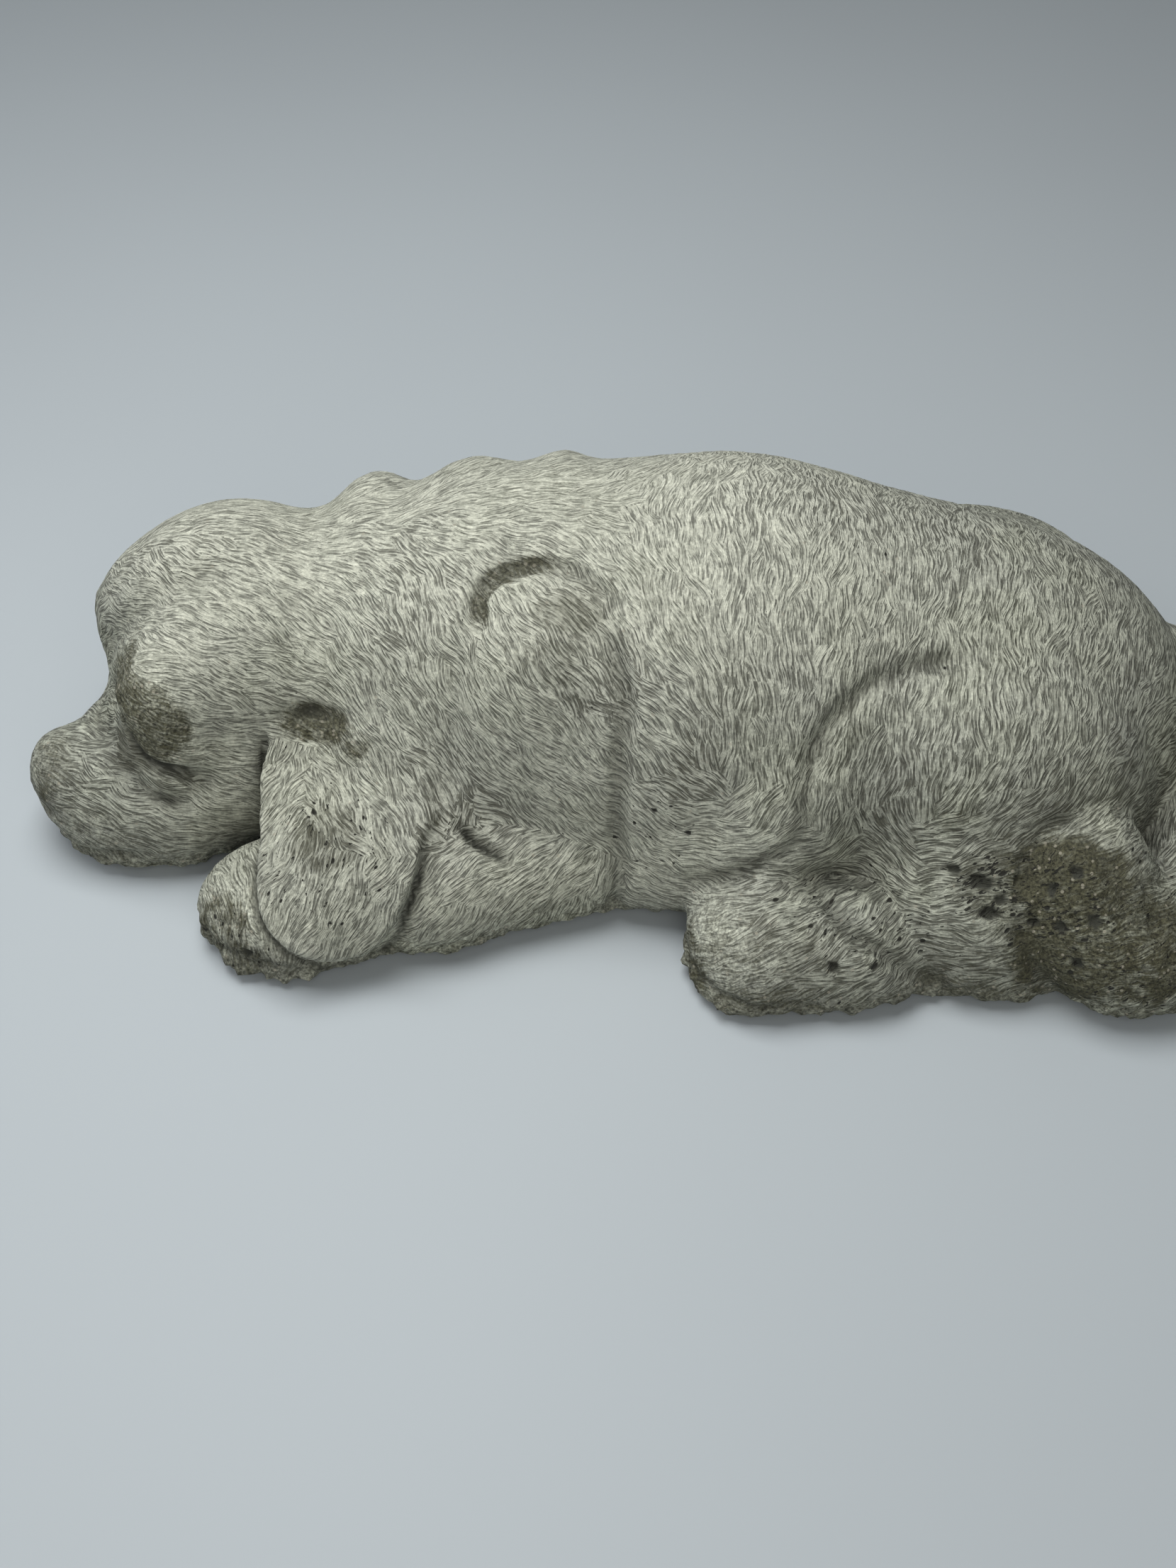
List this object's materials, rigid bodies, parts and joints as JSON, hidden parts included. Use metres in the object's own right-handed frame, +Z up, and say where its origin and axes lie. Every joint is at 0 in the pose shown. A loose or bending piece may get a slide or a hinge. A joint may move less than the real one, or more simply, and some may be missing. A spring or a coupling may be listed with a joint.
{
  "type": "puppy statue",
  "caption": "Statue of a sleeping puppy lying on its belly, head turned to one side with an ear over the forepaw, tail curled round the haunch, cast solid with a flat underside",
  "frame": {"origin": "centre of the bounding box, at the level of the flat underside", "axes": "+X from the nose to the rump, along the spine; +Y to the side the head is turned away from; +Z up"},
  "size_m": [0.345, 0.1886, 0.0991],
  "materials": {
    "concrete": "bare sand-cement concrete, weathered, pale on the raised parts and olive-grey in the hollows"
  },
  "bodies": {
    "root": {"puppy": "concrete"}
  },
  "joints": []
}
